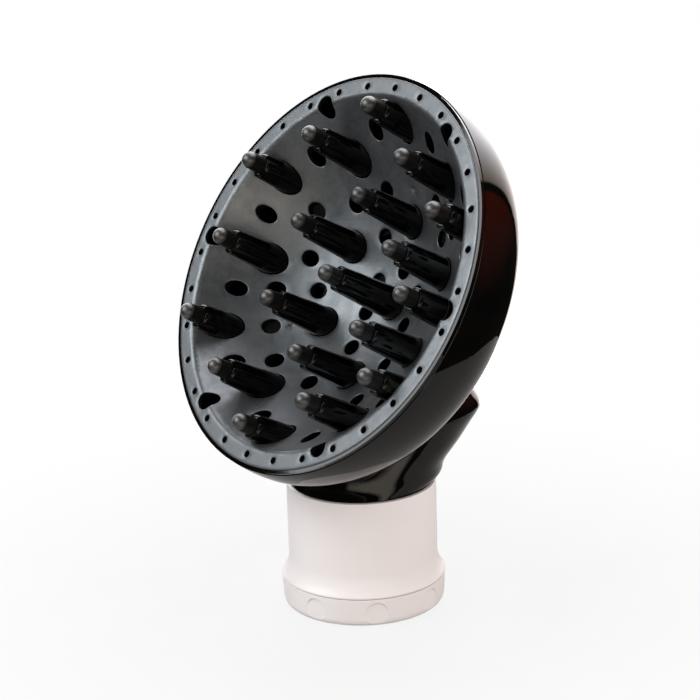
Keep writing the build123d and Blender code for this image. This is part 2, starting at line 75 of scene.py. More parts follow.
# Holes of the plate: radius, points round the edge and rounding of the edge
RIM_HOLES = 30
RIM_HOLE_INSET = 3.6
RIM_HOLE = (1.35, 20, 0.25)
CORNER_HOLES = 6
CORNER_HOLE_OUT = 0.55
CORNER_HOLE = (3.8, 44, 0.35)
AIR_HOLE = (3.2, 36, 0.35)
FINGER_HOLE_POINTS = 44
FINGER_HOLE_STEPS = 6
FINGER_HOLE_EDGE = 0.12
# Air holes: circle as a share of the dish's mouth, and the angles from the top of the dish
AIR_HOLES = {
    0.1875: (0, 60, 120, 180, 240, 300),
    0.330: (203,),
    0.385: (90, 150, 330),
    0.500: (36, 262),
    0.606: (20, 42, 82, 160, 200, 278, 318, 340),
    0.707: (61, 102, 120, 138, 222, 240, 258, 299),
    0.8705: (15, 45, 75, 105, 135, 165, 195, 225, 255, 285, 315, 345),
}
# A rounded edge in steps: how far out and how far down, as shares of the rounding
EDGE_ROUND = ((1.0, 0.0), (0.5, 0.134), (0.134, 0.5), (0.0, 1.0))

# Small moulding pits over the screw bosses, with their rings as shares of radius and depth
PITS = 3
PIT_SHARE = 0.6144
PIT_R = 0.75
PIT_DEPTH = 0.7
PIT_RINGS = ((1.35, 0), (1.1, 0.15), (0.9, 0.6), (0.5, 1))
PIT_POINTS = 16
PIT_CLEAR = 1.6

# Mesh of the plate between its holes
FILL_GAP = 0.5
FILL_START = 1.3
FILL_STEP = 2.0
FILL_SPACING = 2.4
FILLET_ROWS = 7
FILLET_MARGIN = 0.4
FILLET_POINTS = 220
PLATE_POINTS = 240
MERGE_DISTANCE = 1e-6

# Fingers, on a hexagonal grid
FINGER_PITCH = 0.452 * DISH_MOUTH
CENTRE_SHOULDER = -8.6
INNER_SHOULDER = -9.2
MIDDLE_SHOULDER = 2.0
CORNER_SHOULDER = 3.0
SHOULDER_R = 4.95
SHOULDER_CHAMFER = 0.7
CROWN_IN = 0.06
CROWN_EASE = 0.05
CHAMFER_EASE = 0.08
RIB_START = -0.8
RIB_END = 0.1
PLAIN_STARTS = (-0.05, -0.3, -2.0)
FINGER_TAPER = tan(radians(3.1))
FINGER_FIT = 0.25
FINGER_SEAT = 0.05
WEB_FRONT = DISH_R + PLATE_T + 0.25
RIBS = 4
RIB_BEVEL = 0.14
RIB_STEPS = 10
GROOVE_HALF = 1.6
GROOVE_FLOOR = 3.8
GROOVE_STOP = 4.0
GROOVE_TURN = 0.2
GROOVE_LEAST = 0.02
GROOVE_FLOOR_POINTS = (-0.6, 0.0, 0.6)
STUD_BORE = 2.05
STUD_DEPTH = 6.1

# Round-ended tips of the fingers
STUD_R = 2.0
STUD_LENGTH = 5.9
TIP_ROOT_R = 3.55
TIP_END_R = 3.35
TIP_LENGTH = 5.5
TIP_SEAT = 0.1
TIP_CHAMFER = 0.12
TIP_SHANK_SHARES = (0.3, 0.6, 0.9)
TIP_BALL_STEPS = 12
TIP_POLE_R = 0.02
TIP_POINTS = 40

# Skin of the bowl under its lip, over the outer ends of the seat tabs
RIM_R = 80.0
BULGE_X = 53.5
BULGE_Z = -10.6
BULGE_ARC = 27.5
SKIN_TOP_Z = -1.95
SKIN_END_Z = -12.0
SKIN_PROUD = 0.25
SKIN_LIFT = 0.012
SKIN_EDGE = 0.06
SKIN_SUNK = 0.5
SKIN_INSIDE_Z = (SKIN_END_Z, BULGE_Z, -7.0, -4.5, SKIN_TOP_Z + SKIN_EDGE)
SKIN_STEPS = 24
SKIN_POINTS = 480

# Collar sleeve
COLLAR_R = 29.6
COLLAR_TOP_Z = 49.8
COLLAR_BORE = 27.0
SOCKET_R = 28.0
SPIGOT_END_Z = 38.0
FLARE_TOP_Z = 20.2
FLARE_END_Z = 12.2
FLARE_STEPS = 12
SKIRT_Z = 11.55
GUIDE_TOP_Z = 9.6
COLLAR_TOP_ROUND = 0.35
FLARE_END_ROUND = 0.3
SKIRT_ROUND = 0.2
COLLAR_ROUND = 0.12
COLLAR_POINTS = 180

# Twist ring
RING_R = 32.5
RING_IN = 31.4
RING_TOP_Z = 11.25
RING_ROLL = 3.2
RING_ROLL_STEPS = 18
RING_SIDE_STEPS = 44
RING_DRAFT = 0.4
RING_BASE_R = 30.3
RING_TOP_ROUND = 0.25
RING_TOP_EASE = (0.06, 0.07)
RING_IN_ROUND = 0.15
DIMPLES = 8
DIMPLE_START = radians(15)
DIMPLE_HALF = radians(8.8)
DIMPLE_R = 4.4
DIMPLE_DEPTH = 0.8
DIMPLE_Z = 5.3
DIMPLE_EDGE_OUT = 0.2
DIMPLE_EDGE = 0.55
DIMPLE_COLUMNS = 60
PLAIN_COLUMNS = 20

# Cam plate of the ring, with a curved slot for the pin of each jaw
JAWS = 6
CAM_BORE = 25.3
CAM_BORE_POINTS = 160
CAM_T = 2.4
CAM_FILL = (26.3, 27.2, 28.3, 29.4, 30.3, 30.6, 30.85, 31.05, 31.22)
CAM_FILL_POINTS = 150
RING_TURN = 40
PIN_CIRCLE = 30.0
PIN_TRAVEL = 3.0
SLOT_R = 1.1
SLOT_EDGE = 0.1
SLOT_OVERRUN = 1
SLOT_STEPS = 21
SLOT_CAP = range(-75, 76, 15)

# Floor, in metres and in light where 1 is white
FLOOR_R = 0.25
FLOOR_Z = -0.0002
FLOOR_POINTS = 128
FLOOR_WHITE = 0.85
FLOOR_FADE = (0.3 * FLOOR_R, 0.92 * FLOOR_R)
FLOOR_GLOSS = 0.1

# World: light on matt surfaces, and the room that glossy ones mirror
BACKWARD = (0, 1, 0)
UPWARD = (0, 0, 1)
AMBIENT = (0.5, 0.5, 0.5)
AMBIENT_BRIGHT = (1.25, 1.2, 1.18)
AMBIENT_WAY = (0.75, 0.55, 0.36)
ROOM = (0.01, 0.01, 0.01)
BROWN = (0.4, 0.045, 0.015)
BROWN_EDGE = (-0.05, -0.08)
BROWN_RISE = (-0.1, 0.4)
BROWN_BACK = (0.45, 0.65)
CARD = (1.6, 1.4, 1.2)
CARD_WAY = (0.79, -0.61, 0.05)
CARD_EDGE = (0.75, 0.85)
CARD_TOP = (0.3, 0.12)
CARD_FOOT = (-0.25, -0.15)
WINDOW = (4.7, 4.6, 4.7)
WINDOW_LOW = (1.6, 1.3, 1.15)
WINDOW_WAY = (-0.827, -0.095, 0.554)
WINDOW_EDGE = (0.0, 0.02)
WINDOW_RISE = (0.02, 0.35)
WINDOW_BACK = (0.0, 0.2)

# Camera, as solved from the photograph
SENSOR = 36
FOCAL_PIXELS = 2286
PHOTO_PIXELS = 700
EYE = (0.6645, -0.5279, 0.3618)
EYE_RIGHT = (0.6254, 0.7798, -0.0269)
EYE_FORWARD = (-0.751, 0.5923, -0.292)


def on_face(radius, angle):
    turned = radians(angle + PATTERN_TURN)
    return (radius * sin(turned), radius * cos(turned))


def sphere_z(sphere_r, radius):
    return DISH_Z - sqrt(sphere_r**2 - radius**2)


def circle(x, y, radius, count):
    turns = [2 * pi * i / count for i in range(count)]
    return [(x + radius * cos(turn), y + radius * sin(turn)) for turn in turns]


def piece(name, verts, faces, materials, replaced, body="diffuser_body", place=None,
          weld=False, second=()):
    """A mesh of the object: it rides on a body and stands for solids.

    The faces numbered in second have the second material.
    """
    mesh = bpy.data.meshes.new(name)
    if place:
        verts = [place @ Vector(v) for v in verts]
    mesh.from_pydata([tuple(MM * c for c in v) for v in verts], [], faces)
    for mat in materials:
        mesh.materials.append(mat)
    for k in second:
        mesh.polygons[k].material_index = 1
    if weld:
        shape = bmesh.new()
        shape.from_mesh(mesh)
        bmesh.ops.remove_doubles(shape, verts=shape.verts, dist=WELD_DISTANCE)
        shape.to_mesh(mesh)
        shape.free()
    mesh.shade_smooth()
    mesh.set_sharp_from_angle(angle=SHARP_ANGLE)
    mesh.validate()
    obj = bpy.data.objects.new(name, mesh)
    scene.collection.objects.link(obj)
    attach(obj, body)
    if replaced:
        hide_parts(*replaced)
    return obj


# Materials
def socket_ramp(tree, source, low, high, start=0.35, end=0.65):
    ramp = tree.nodes.new("ShaderNodeMapRange")
    ramp.inputs["From Min"].default_value = start
    ramp.inputs["From Max"].default_value = end
    ramp.inputs["To Min"].default_value = low
    ramp.inputs["To Max"].default_value = high
    tree.links.new(source, ramp.inputs["Value"])
    return ramp.outputs["Result"]


def plastic(name, dark, pale, patch, rough, rough_patch, bumps=(), **sockets):
    """A moulded plastic: two tones in patches, uneven gloss, and bumps of several sizes.

    Patches and bumps, which are (size, height), are in millimetres; rough is a range.
    """
    mat = bpy.data.materials.new(name)
    mat.use_nodes = True
    tree = mat.node_tree
    shader = tree.nodes["Principled BSDF"]
    coords = tree.nodes.new("ShaderNodeTexCoord").outputs["Object"]

    def noise(size_mm, detail=2.0):
        node = tree.nodes.new("ShaderNodeTexNoise")
        node.inputs["Scale"].default_value = 1 / (size_mm * MM)
        node.inputs["Detail"].default_value = detail
        tree.links.new(coords, node.inputs["Vector"])
        return node.outputs["Fac"]

    tones = tree.nodes.new("ShaderNodeMix")
    tones.data_type = "RGBA"
    tones.inputs[6].default_value = (*dark, 1)
    tones.inputs[7].default_value = (*pale, 1)
    tree.links.new(socket_ramp(tree, noise(patch, 4.0), 0, 1), tones.inputs[0])
    tree.links.new(tones.outputs[2], shader.inputs["Base Color"])
    tree.links.new(socket_ramp(tree, noise(rough_patch, 5.0), *rough), shader.inputs["Roughness"])
    normal = None
    for size_mm, height_mm in bumps:
        bump = tree.nodes.new("ShaderNodeBump")
        bump.inputs["Distance"].default_value = height_mm * MM
        tree.links.new(noise(size_mm), bump.inputs["Height"])
        if normal:
            tree.links.new(normal, bump.inputs["Normal"])
        normal = bump.outputs["Normal"]
    if normal:
        tree.links.new(normal, shader.inputs["Normal"])
    for key, value in sockets.items():
        shader.inputs[key.replace("_", " ")].default_value = value
    return mat


gloss_black = plastic("gloss_black", (0.0012, 0.0011, 0.001), (0.003, 0.0027, 0.0025), 30,
                      (0.02, 0.05), 14, [(9, 0.008)], IOR=1.43)
grained_grey = plastic("grained_grey", (0.028, 0.029, 0.03), (0.046, 0.047, 0.048), 1.6,
                       (0.36, 0.46), 5, [(0.55, 0.04), (0.22, 0.015)], IOR=1.85,
                       Specular_IOR_Level=0.9, Specular_Tint=(0.88, 0.95, 1, 1))
finger_black = plastic("finger_black", (0.0015, 0.0014, 0.0012), (0.0035, 0.0032, 0.003), 3,
                       (0.1, 0.18), 2, [(1.2, 0.006)], Specular_IOR_Level=0.35)
tip_shank = plastic("tip_shank", (0.002, 0.0018, 0.0015), (0.004, 0.0036, 0.003), 1.5,
                    (0.3, 0.4), 1.0, [(0.4, 0.008)], Specular_IOR_Level=0.4)
tip_grey = plastic("tip_grey", (0.008, 0.0077, 0.007), (0.013, 0.0124, 0.0115), 1.5,
                   (0.38, 0.48), 1.0, [(0.3, 0.01)], IOR=1.7, Specular_IOR_Level=0.8)
warm_white = plastic("warm_white", (0.79, 0.742, 0.732), (0.81, 0.762, 0.752), 26,
                     (0.37, 0.41), 12, [(0.5, 0.003)])
# Black of the finger web; on the plate's hole walls and outer edge the same black is painted shade
web_black_and_painted_shade = plastic("web_black_and_painted_shade", (0.002, 0.002, 0.002), (0.004, 0.004, 0.004), 4,
                    (0.6, 0.75), 3, [(0.6, 0.02)], Specular_IOR_Level=0.1)
inner_white = plastic("inner_white", (0.66, 0.64, 0.61), (0.72, 0.7, 0.67), 8,
                      (0.42, 0.56), 3, [(0.5, 0.01)])
pad_rubber = plastic("pad_rubber", (0.03, 0.03, 0.03), (0.05, 0.05, 0.05), 1.2,
                     (0.7, 0.85), 0.8, [(0.35, 0.05)])
screw_steel = plastic("screw_steel", (0.5, 0.5, 0.5), (0.62, 0.62, 0.61), 1.5,
                      (0.25, 0.4), 0.6, [(0.3, 0.01)], Metallic=1.0)

slots = {"gloss_black": gloss_black, "grained_grey": grained_grey, "finger_black": finger_black,
         "tip_grey": tip_grey, "warm_white": warm_white, "inner_white": inner_white,
         "pad_rubber": pad_rubber, "screw_steel": screw_steel}
for part in frame["record"]["subparts"]:
    data = nodes[part["node"]].data
    data.materials.clear()
    data.materials.append(slots[part["material_slot"]])
nodes["finger_web"].data.materials[0] = web_black_and_painted_shade


# Fingers: name, place on the face and shoulder height
fingers = [("centre", (0.0, 0.0), CENTRE_SHOULDER)]
for i in range(6):
    fingers.append((f"inner_{i + 1}", on_face(FINGER_PITCH, 60 * i), INNER_SHOULDER))
for i in range(6):
    corner = on_face(2 * FINGER_PITCH, 60 * i)
    middle = on_face(sqrt(3) * FINGER_PITCH, 60 * i + 30)
    fingers.append((f"outer_{2 * i + 1}", corner, CORNER_SHOULDER))
    fingers.append((f"outer_{2 * i + 2}", middle, MIDDLE_SHOULDER))


# Perforated plate
fillet_r = sqrt((DISH_R + CORNER_FILLET) ** 2 - (DISH_Z + CORNER_FILLET) ** 2)
fillet_start = fillet_r * DISH_R / (DISH_R + CORNER_FILLET)


def front_z(radius):
    if radius < fillet_start:
        return sphere_z(DISH_R, radius)
    if radius < fillet_r:
        return sqrt(CORNER_FILLET**2 - (radius - fillet_r) ** 2) - CORNER_FILLET
    return 0.0


def back_z(radius):
    back_r = DISH_R + PLATE_T
    return min(sphere_z(back_r, min(radius, back_r)), -FLANGE_T)


class RoundHole:
    """A hole with its own radius in each direction and a rounded edge."""

    def __init__(self, place, radii, edge):
        self.x, self.y = place
        self.radii = radii
        self.edge = edge
        self.reach = max(radii) + edge + FILL_GAP

    def near(self, x, y):
        return hypot(x - self.x, y - self.y) < self.reach

    def ring(self, out):
        loop = []
        for i, radius in enumerate(self.radii):
            turn = 2 * pi * i / len(self.radii)
            loop.append((self.x + (radius + out) * cos(turn), self.y + (radius + out) * sin(turn)))
        return loop


class SlotHole:
    """A slot of one width along a path, with a rounded edge."""

    def __init__(self, path, radius, edge):
        self.path = [Vector(p) for p in path]
        self.radius = radius
        self.edge = edge
        self.reach = radius + edge + FILL_GAP

    def near(self, x, y):
        return min((p - Vector((x, y))).length for p in self.path) < self.reach

    def ring(self, out):
        radius = self.radius + out
        sides = [[], []]
        for k, point in enumerate(self.path):
            along = self.path[min(k + 1, len(self.path) - 1)] - self.path[max(k - 1, 0)]
            across = Vector((-along.y, along.x)).normalized() * radius
            sides[0].append(point - across)
            sides[1].append(point + across)
        caps = []
        for end, inner in ((self.path[0], self.path[1]), (self.path[-1], self.path[-2])):
            start = atan2((end - inner).y, (end - inner).x)
            turns = [start + radians(t) for t in SLOT_CAP]
            caps.append([end + Vector((cos(t), sin(t))) * radius for t in turns])
        loop = sides[0] + caps[1] + sides[1][::-1] + caps[0]
        return [tuple(p) for p in loop]


def even_hole(place, radius, count, edge):
    return RoundHole(place, [radius] * count, edge)


def finger_hole(place, shoulder):
    """Where the tapered hole of a finger meets the front of the dish."""
    radii = []
    for i in range(FINGER_HOLE_POINTS):
        turn = 2 * pi * i / FINGER_HOLE_POINTS
        radius = SHOULDER_R
        for step in range(FINGER_HOLE_STEPS):
            spot = hypot(place[0] + radius * cos(turn), place[1] + radius * sin(turn))
            radius = SHOULDER_R + FINGER_FIT + (shoulder - front_z(spot)) * FINGER_TAPER
        radii.append(radius)
    return RoundHole(place, radii, FINGER_HOLE_EDGE)


def perforated(holes, pits, rims, fill, top, bottom):
    """Front, back and walls of a plate with holes; its heights come from top and bottom.

    A rim is (loops, wall): its loops are (points, drop), and its wall is outer, inner or None.
    The numbers of the walls' faces are returned too.
    """
    points, drops, ties, walls, owner = [], [], [], [], {}

    def ring(loop, drop):
        start = len(points)
        points.extend(loop)
        drops.extend([drop] * len(loop))
        ties.extend((start + i, start + (i + 1) % len(loop)) for i in range(len(loop)))
        return list(range(start, start + len(loop)))

    for loops, wall in rims:
        for loop, drop in loops:
            last = ring(loop, drop)
        if wall:
            walls.append((last, wall == "outer"))
        if wall == "inner":
            owner.update(dict.fromkeys(last, "bore"))
    for hole in holes:
        for out, drop in EDGE_ROUND:
            last = ring(hole.ring(out * hole.edge), drop * hole.edge)
        walls.append((last, False))
        owner.update(dict.fromkeys(last, hole))
    for x, y in pits:
        for share, drop in PIT_RINGS:
            ring(circle(x, y, PIT_R * share, PIT_POINTS), drop * PIT_DEPTH)
    for x, y in fill:
        in_pit = any(hypot(x - px, y - py) < PIT_CLEAR * PIT_R for px, py in pits)
        if not in_pit and not any(hole.near(x, y) for hole in holes):
            points.append((x, y))
            drops.append(0.0)
    flat_points = [Vector(p) for p in points]
    flat, _, tris, *_ = delaunay_2d_cdt(flat_points, ties, [], 0, MERGE_DISTANCE)

    def solid(tri):
        """False for a triangle whose corners all lie on the edge of one hole."""
        owners = {owner.get(k) for k in tri}
        return None in owners or len(owners) > 1

    tris = [t for t in tris if solid(t)]
    count = len(flat)
    verts = [(p.x, p.y, top(hypot(p.x, p.y)) - drops[i]) for i, p in enumerate(flat)]
    verts += [(p.x, p.y, bottom(hypot(p.x, p.y))) for p in flat]
    faces = [tuple(t) for t in tris] + [tuple(count + k for k in reversed(t)) for t in tris]
    for loop, outer in walls:
        for a, b in zip(loop, loop[1:] + loop[:1]):
            faces.append((a, count + a, count + b, b) if outer else (a, b, count + b, count + a))
    return verts, faces, range(2 * len(tris), len(faces))


holes = []
for i in range(RIM_HOLES):
    holes.append(even_hole(on_face(PLATE_R - RIM_HOLE_INSET, 360 / RIM_HOLES * i), *RIM_HOLE))
for i in range(CORNER_HOLES):
    angle = 360 / CORNER_HOLES * (i + 0.5)
    holes.append(even_hole(on_face(DISH_MOUTH + CORNER_HOLE_OUT, angle), *CORNER_HOLE))
for share, angles in AIR_HOLES.items():
    holes += [even_hole(on_face(share * DISH_MOUTH, angle), *AIR_HOLE) for angle in angles]
holes += [finger_hole(place, shoulder) for name, place, shoulder in fingers]
pits = [on_face(PIT_SHARE * DISH_MOUTH, 360 / PITS * i) for i in range(PITS)]

fill = []
radius = FILL_START
while radius < PLATE_R - 1:
    fill += circle(0, 0, radius, max(6, round(2 * pi * radius / FILL_SPACING)))
    radius += FILL_STEP
for row in range(FILLET_ROWS):
    reach = fillet_r - fillet_start + 2 * FILLET_MARGIN
    radius = fillet_start - FILLET_MARGIN + reach * row / (FILLET_ROWS - 1)
    fill += circle(0, 0, radius, FILLET_POINTS)
rim = [(circle(0, 0, PLATE_R - PLATE_EDGE * out, PLATE_POINTS), PLATE_EDGE * drop)
       for out, drop in EDGE_ROUND]
# The walls of the holes and the plate's outer edge take the web's black: painted shade where the
# grey plastic lies in shadow
verts, faces, walls = perforated(holes, pits, [(rim, "outer")], fill, front_z, back_z)
piece("plate_dish", verts, faces, [grained_grey, web_black_and_painted_shade], ["finger_plate"],
      place=FACE, second=walls)


# Fingers with four ribs
def rib_section(outer, grooved):
    """Outline of a finger: ribs with grooves between, or a full circle with as many points."""
    loop = []
    half = asin(GROOVE_HALF / outer)
    reach = pi / RIBS - half
    bevel = RIB_BEVEL / outer
    start = max(sqrt((outer - RIB_BEVEL) ** 2 - GROOVE_HALF**2), GROOVE_FLOOR + GROOVE_LEAST)
    turn = min(GROOVE_TURN, 0.9 * (start - GROOVE_FLOOR))
    wall = [(start, -GROOVE_HALF), (GROOVE_FLOOR + turn, -GROOVE_HALF),
            (GROOVE_FLOOR + 0.3 * turn, 0.3 * turn - GROOVE_HALF),
            (GROOVE_FLOOR, turn - GROOVE_HALF)]
    groove = wall + [(GROOVE_FLOOR, y) for y in GROOVE_FLOOR_POINTS]
    groove += [(x, -y) for x, y in reversed(wall)]
    for k in range(RIBS):
        centre = 2 * pi / RIBS * k
        for i in range(RIB_STEPS + 1):
            angle = centre + (reach - bevel) * (2 * i / RIB_STEPS - 1)
            loop.append((outer * cos(angle), outer * sin(angle)))
        mid = centre + pi / RIBS
        for i, (x, y) in enumerate(groove):
            if grooved:
                loop.append((x * cos(mid) - y * sin(mid), x * sin(mid) + y * cos(mid)))
            else:
                angle = mid + (half + bevel) * (2 * (i + 1) / (len(groove) + 1) - 1)
                loop.append((outer * cos(angle), outer * sin(angle)))
    return loop


for name, place, shoulder in fingers:
    place_r = hypot(*place)
    groove_end = sphere_z(DISH_R, place_r) + GROOVE_STOP - shoulder
    crown = SHOULDER_R - SHOULDER_CHAMFER
    # Depth, radius and grooves: over the eased crown, down the ribs, and plain below the grooves
    stations = [(0.0, TIP_ROOT_R - TIP_SEAT, False), (0.0, crown - CROWN_IN, True),
                (-CROWN_EASE, crown + CROWN_EASE, True),
                (-SHOULDER_CHAMFER + CHAMFER_EASE, SHOULDER_R - CROWN_EASE, True)]
    for depth in (RIB_START, groove_end * 0.5, groove_end + RIB_END):
        stations.append((depth, SHOULDER_R - depth * FINGER_TAPER, True))
    for start in PLAIN_STARTS:
        depth = groove_end + start
        stations.append((depth, SHOULDER_R - depth * FINGER_TAPER, False))
    bore = [(STUD_BORE / crown * x, STUD_BORE / crown * y) for x, y in rib_section(crown, False)]
    sections = [(-STUD_DEPTH, bore), (0.0, bore)]
    sections += [(depth, rib_section(outer, grooved)) for depth, outer, grooved in stations]
    loops = []
    for depth, section in sections:
        loops.append([(place[0] + x, place[1] + y, shoulder + depth) for x, y in section])
    root_depth = sphere_z(WEB_FRONT, place_r) - shoulder
    root = rib_section(SHOULDER_R - root_depth * FINGER_TAPER, False)
    spots = [(place[0] + x, place[1] + y) for x, y in root]
    loops.append([(x, y, sphere_z(WEB_FRONT - FINGER_SEAT, hypot(x, y))) for x, y in spots])
    size = len(root)
    verts = [v for loop in loops for v in loop]
    faces = [tuple(range(size))]
    for k in range(len(loops) - 1):
        for i in range(size):
            j = (i + 1) % size
            faces.append((k * size + i, (k + 1) * size + i, (k + 1) * size + j, k * size + j))
    faces.append(tuple(reversed(range(len(verts) - size, len(verts)))))
    piece(f"ribbed_finger_{name}", verts, faces, [finger_black],
          [f"finger_{name}"], place=FACE)


def lathe(profile, count, closed):
    """A profile of (radius, height) turned about the height axis."""
    verts = [(x, y, z) for r, z in profile for x, y in circle(0, 0, r, count)]
    faces = []
    for k in range(len(profile) if closed else len(profile) - 1):
        n = (k + 1) % len(profile)
        for i in range(count):
            j = (i + 1) % count
            faces.append((k * count + i, k * count + j, n * count + j, n * count + i))
    return verts, faces


# Round-ended tips: a dark shank with a grey ball
tip_profile = [(STUD_R, -STUD_LENGTH), (STUD_R, 0.0), (TIP_ROOT_R - TIP_SEAT, 0.0),
               (TIP_ROOT_R, TIP_CHAMFER)]
for share in TIP_SHANK_SHARES:
    tip_profile.append((TIP_ROOT_R + (TIP_END_R - TIP_ROOT_R) * share, TIP_LENGTH * share))
shank_faces = range(len(tip_profile) * TIP_POINTS)
for i in range(TIP_BALL_STEPS + 1):
    angle = pi / 2 * i / TIP_BALL_STEPS
    ball_r = max(TIP_END_R * cos(angle), TIP_POLE_R)
    tip_profile.append((ball_r, TIP_LENGTH + TIP_END_R * sin(angle)))
verts, faces = lathe(tip_profile, TIP_POINTS, False)
faces.append(tuple(range(len(verts) - TIP_POINTS, len(verts))))
faces.append(tuple(reversed(range(TIP_POINTS))))
for name, place, shoulder in fingers:
    spot = FACE @ Matrix.Translation((*place, shoulder))
    piece(f"round_tip_{name}", verts, faces, [tip_grey, tip_shank],
          [f"finger_tip_{name}"], place=spot, second=shank_faces)


# Skin of the bowl under its lip
def bulge_r(z):
    return BULGE_X + sqrt(BULGE_ARC**2 - (z - BULGE_Z) ** 2)


skin_out = RIM_R + SKIN_PROUD - bulge_r(SKIN_TOP_Z)
skin = [(RIM_R + 0.5 * SKIN_PROUD, SKIN_TOP_Z + SKIN_EDGE)]
for i in range(SKIN_STEPS + 1):
    t = i / SKIN_STEPS
    z = SKIN_TOP_Z + (SKIN_END_Z - SKIN_TOP_Z) * t
    skin.append((bulge_r(z) + SKIN_LIFT + skin_out * (1 - t) ** 2, z))
skin += [(bulge_r(z) - SKIN_SUNK, z) for z in SKIN_INSIDE_Z]
verts, faces = lathe(skin[::-1], SKIN_POINTS, True)
piece("bowl_edge_skin", verts, faces, [gloss_black], [], place=FACE)


# White collar with its flare
def rounded(corners, radius, steps=4):
    """A profile with rounded corners: (radius, height) or (radius, height, own rounding)."""
    out = []
    for k, corner in enumerate(corners):
        here = Vector(corner[:2])
        before = Vector(corners[k - 1][:2]) - here
        after = Vector(corners[(k + 1) % len(corners)][:2]) - here
        reach = corner[2] if len(corner) > 2 else radius
        reach = min(reach, before.length * 0.45, after.length * 0.45)
        if reach < 1e-4:
            out.append(tuple(here))
            continue
        start = here + before.normalized() * reach
        end = here + after.normalized() * reach
        for i in range(steps + 1):
            t = i / steps
            point = start * (1 - t) ** 2 + here * 2 * t * (1 - t) + end * t**2
            out.append(tuple(point))
    return out


flare_rise = FLARE_TOP_Z - FLARE_END_Z
flare_out = RING_R - COLLAR_R
flare_r = (flare_rise**2 + flare_out**2) / (2 * flare_out)
corners = [(COLLAR_R, COLLAR_TOP_Z, COLLAR_TOP_ROUND)]
for i in range(FLARE_STEPS):
    z = FLARE_TOP_Z - flare_rise * i / FLARE_STEPS
    corners.append((COLLAR_R + flare_r - sqrt(flare_r**2 - (FLARE_TOP_Z - z) ** 2), z, 0.0))
corners += [
    (RING_R, FLARE_END_Z, FLARE_END_ROUND),
    (RING_R, SKIRT_Z, SKIRT_ROUND),
    (COLLAR_R, SKIRT_Z),
    (COLLAR_R, GUIDE_TOP_Z, 0.0),
    (COLLAR_BORE, GUIDE_TOP_Z),
    (COLLAR_BORE, SPIGOT_END_Z),
    (SOCKET_R, SPIGOT_END_Z),
    (SOCKET_R, COLLAR_TOP_Z),
]
verts, faces = lathe(rounded(corners[::-1], COLLAR_ROUND), COLLAR_POINTS, True)
piece("collar_skin", verts, faces, [warm_white], ["collar_sleeve"])


# Twist ring: a skin with soft finger dimples, and the cam plate with its six slots
def ring_radius(z):
    side_r = RING_R - RING_DRAFT
    if z >= RING_ROLL:
        return side_r + RING_DRAFT * (z - RING_ROLL) / (RING_TOP_Z - RING_ROLL)
    drop = 1 - z / RING_ROLL
    return side_r - (side_r - RING_BASE_R) * (1 - sqrt(max(1 - drop**2, 0)))


def roll_z(radius):
    """Height of the ring's underside: flat, then up along its rolled edge."""
    if radius <= RING_BASE_R:
        return 0.0
    side_r = RING_R - RING_DRAFT
    rise = 1 - (side_r - radius) / (side_r - RING_BASE_R)
    return RING_ROLL * (1 - sqrt(1 - rise**2))


# Columns of the ring's skin lie closer together over the dimples
dimple_pitch = 2 * pi / DIMPLES
dimple_turns = [DIMPLE_START + dimple_pitch * k for k in range(DIMPLES)]
plain_width = dimple_pitch - 2 * DIMPLE_HALF
turns = []
for turn in dimple_turns:
    for i in range(DIMPLE_COLUMNS):
        turns.append(turn + DIMPLE_HALF * (2 * i / DIMPLE_COLUMNS - 1))
    for i in range(PLAIN_COLUMNS):
        turns.append(turn + DIMPLE_HALF + plain_width * i / PLAIN_COLUMNS)


def ring_circle(radius):
    return [(radius * cos(turn), radius * sin(turn)) for turn in turns]


def dimpled_radius(turn, z):
    full = ring_radius(z)
    off = min(abs((turn - middle + pi) % (2 * pi) - pi) for middle in dimple_turns)
    span = hypot(full * off, z - DIMPLE_Z)
    soft = min(max((DIMPLE_R + DIMPLE_EDGE_OUT - span) / DIMPLE_EDGE, 0), 1)
    facet = (RING_R - DIMPLE_DEPTH) / cos(off)
    return full - max(full - facet, 0) * soft * soft * (3 - 2 * soft)


roll_start = roll_z(RING_IN)
roll_height = RING_ROLL - roll_start
side_height = RING_TOP_Z - RING_TOP_ROUND - RING_ROLL
levels = []
for i in range(RING_ROLL_STEPS):
    levels.append(roll_start + roll_height * (1 - cos(pi / 2 * i / RING_ROLL_STEPS)))
for i in range(RING_SIDE_STEPS + 1):
    levels.append(RING_ROLL + side_height * i / RING_SIDE_STEPS)
verts = []
for z in levels:
    for turn in turns:
        radius = dimpled_radius(turn, z)
        verts.append((radius * cos(turn), radius * sin(turn), z))
inside = [(RING_R - RING_TOP_EASE[0], RING_TOP_Z - RING_TOP_EASE[1]),
          (RING_R - RING_TOP_ROUND, RING_TOP_Z), (RING_IN + RING_IN_ROUND, RING_TOP_Z),
          (RING_IN, RING_TOP_Z - RING_IN_ROUND), (RING_IN, CAM_T)]
for radius, z in inside:
    verts += [(x, y, z) for x, y in ring_circle(radius)]
around = len(turns)
faces = []
for k in range(len(levels) + len(inside) - 1):
    low, high = k * around, (k + 1) * around
    for i in range(around):
        j = (i + 1) % around
        faces.append((low + i, low + j, high + j, high + i))

